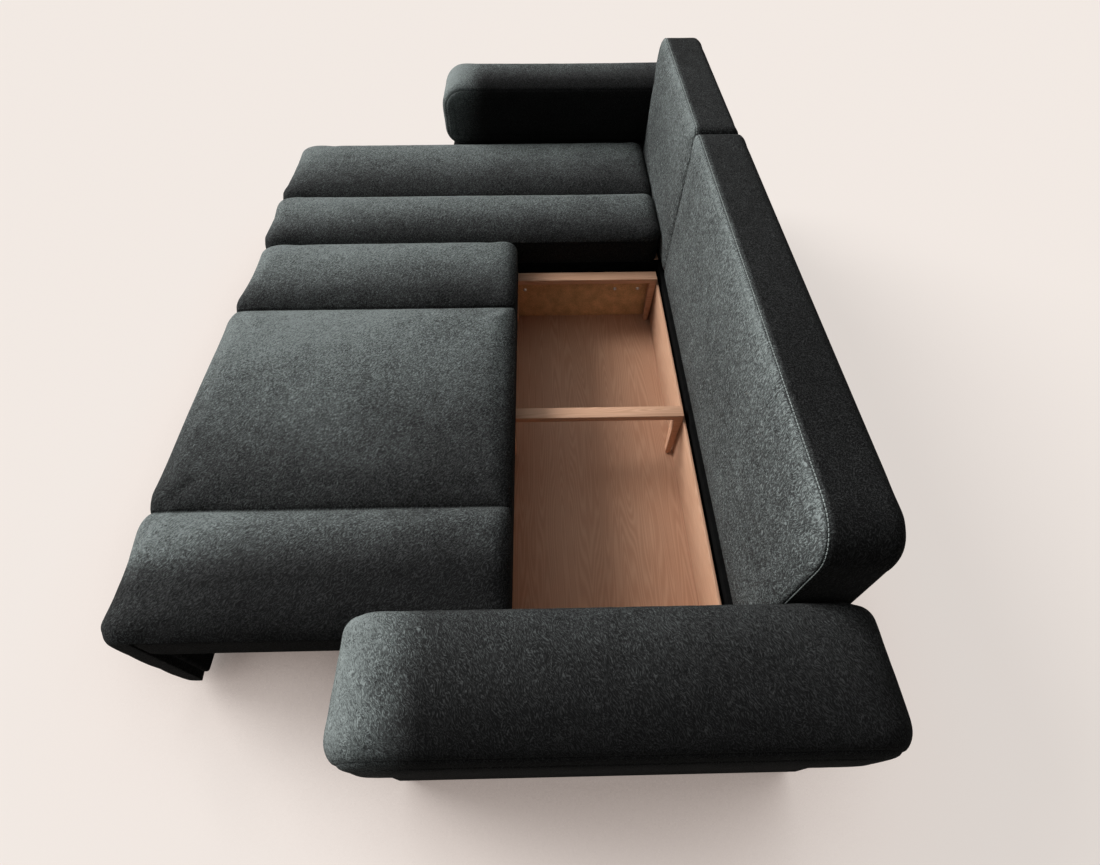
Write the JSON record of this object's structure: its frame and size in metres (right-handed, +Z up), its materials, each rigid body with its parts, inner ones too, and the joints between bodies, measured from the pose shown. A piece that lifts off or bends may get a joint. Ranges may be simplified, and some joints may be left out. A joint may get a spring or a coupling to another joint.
{
  "type": "storage sofa",
  "caption": "Upholstered sofa with a chaise end and a seat that slides forward on castors to open a wooden storage box behind it.",
  "frame": {"origin": "on the floor, at the middle of the outline with the seat pulled out", "axes": "+X along the sofa from the chaise end to the plain end, +Y from the seat's front to the backrest, +Z up"},
  "size_m": [2.65, 1.69, 0.8507],
  "materials": {
    "cloth": "brushed velour, dark green-grey",
    "lining": "black lining cloth over board",
    "foam": "open-cell foam",
    "pine": "planed pine, sealed",
    "hardboard": "brown hardboard",
    "steel": "zinc plated",
    "plastic": "black, moulded"
  },
  "bodies": {
    "base": {"arm_near": "cloth", "arm_far": "cloth", "arm_box_near": "cloth", "arm_box_far": "cloth", "backrest_long": "cloth", "backrest_short": "cloth", "back_plate_long": "pine", "back_plate_short": "pine", "back_beam": "lining", "back_panel": "cloth", "back_liner": "lining", "chaise_top": "cloth", "chaise_front": "cloth", "chaise_border": "cloth", "chaise_frame": "pine", "chaise_slats": "pine", "chaise_foam": "foam", "chaise_side_near": "lining", "chaise_side_far": "lining", "chaise_ends": "pine", "bearers": "pine", "box_floor": "pine", "box_wall_front": "pine", "box_wall_rear": "pine", "box_end_far": "hardboard", "box_end_near": "hardboard", "portal_far": "pine", "portal_middle": "pine", "portal_near": "pine", "box_bolts": "steel", "feet": "plastic"},
    "seat": {"seat_top": "cloth", "seat_front": "cloth", "seat_border": "cloth", "seat_frame": "pine", "seat_slats": "pine", "seat_foam": "foam", "front_board": "cloth", "castor_blocks": "pine", "castor_forks": "steel", "castor_axles": "steel", "glides": "plastic"},
    "wheel_far": {"castor_wheel_far": "plastic"},
    "wheel_middle": {"castor_wheel_middle": "plastic"},
    "wheel_near": {"castor_wheel_near": "plastic"}
  },
  "joints": [
    {"name": "seat_slide", "type": "slide", "parent": "base", "child": "seat", "axis": [0, 1, 0], "range_m": [0, 0.52]},
    {"name": "wheel_far_spin", "type": "hinge", "parent": "seat", "child": "wheel_far", "pos_m": [-0.19472, -0.677, 0.024], "axis": [1, 0, 0], "range_deg": [-1300, 10]},
    {"name": "wheel_middle_spin", "type": "hinge", "parent": "seat", "child": "wheel_middle", "pos_m": [0.3445, -0.677, 0.024], "axis": [1, 0, 0], "range_deg": [-1300, 10]},
    {"name": "wheel_near_spin", "type": "hinge", "parent": "seat", "child": "wheel_near", "pos_m": [0.88372, -0.677, 0.024], "axis": [1, 0, 0], "range_deg": [-1300, 10]}
  ],
  "couplings": [
    {"joint": "wheel_far_spin", "follows": "seat_slide", "rad_per_m": -41.667},
    {"joint": "wheel_middle_spin", "follows": "seat_slide", "rad_per_m": -41.667},
    {"joint": "wheel_near_spin", "follows": "seat_slide", "rad_per_m": -41.667}
  ]
}
